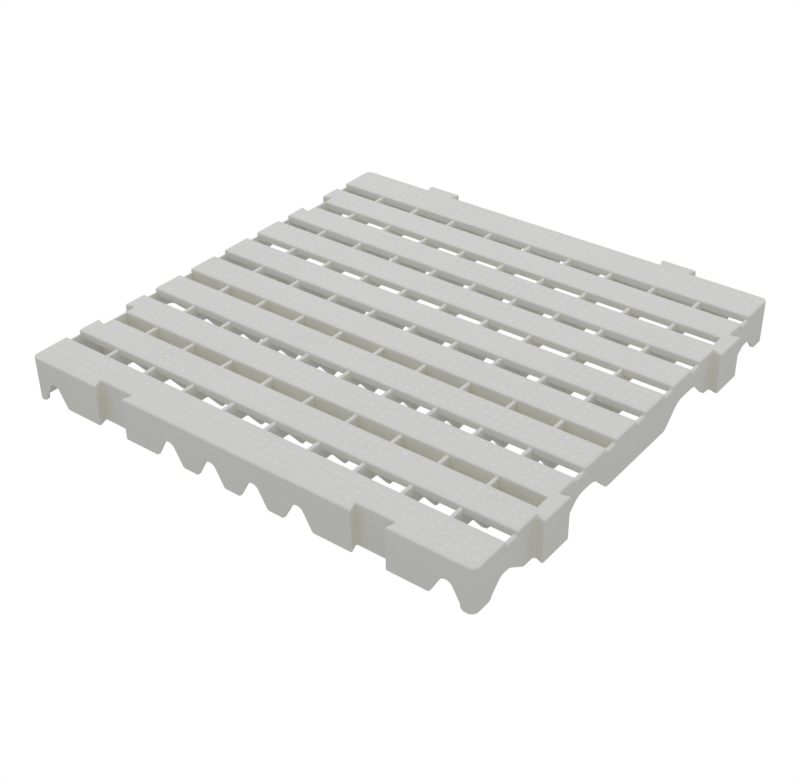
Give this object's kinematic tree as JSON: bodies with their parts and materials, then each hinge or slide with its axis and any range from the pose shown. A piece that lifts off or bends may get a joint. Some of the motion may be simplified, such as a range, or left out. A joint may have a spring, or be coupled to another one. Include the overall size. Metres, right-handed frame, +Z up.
{
  "type": "slatted livestock floor panel",
  "caption": "Square plastic slatted floor panel on scalloped walls, with dovetail tabs on two sides and matching recesses on the other two.",
  "frame": {"origin": "centre of the bottom of the bounding box, tabs included; the corner feet stand on Z = 0", "axes": "+X along the slats towards the side with two tabs, +Y across the slats towards the other side with tabs, +Z up"},
  "size_m": [0.612, 0.612, 0.0554],
  "materials": {
    "plastic": "satin off-white moulded polypropylene"
  },
  "bodies": {
    "root": {"back_skirt": "plastic", "cross_rib_1": "plastic", "cross_rib_2": "plastic", "cross_rib_3": "plastic", "cross_rib_4": "plastic", "cross_rib_5": "plastic", "cross_rib_6": "plastic", "cross_rib_7": "plastic", "cross_rib_8": "plastic", "cross_rib_9": "plastic", "deep_wall_1": "plastic", "deep_wall_2": "plastic", "deep_wall_3": "plastic", "deep_wall_4": "plastic", "deep_wall_5": "plastic", "deep_wall_6": "plastic", "end_wall_left": "plastic", "end_wall_right": "plastic", "foot_back_left": "plastic", "foot_back_right": "plastic", "foot_front_left": "plastic", "foot_front_right": "plastic", "front_skirt": "plastic", "slat_01": "plastic", "slat_02": "plastic", "slat_03": "plastic", "slat_04": "plastic", "slat_05": "plastic", "slat_06": "plastic", "slat_07": "plastic", "slat_08": "plastic", "slat_09": "plastic", "slat_10": "plastic", "tab_back_1": "plastic", "tab_back_2": "plastic", "tab_right_1": "plastic", "tab_right_2": "plastic"}
  },
  "joints": []
}
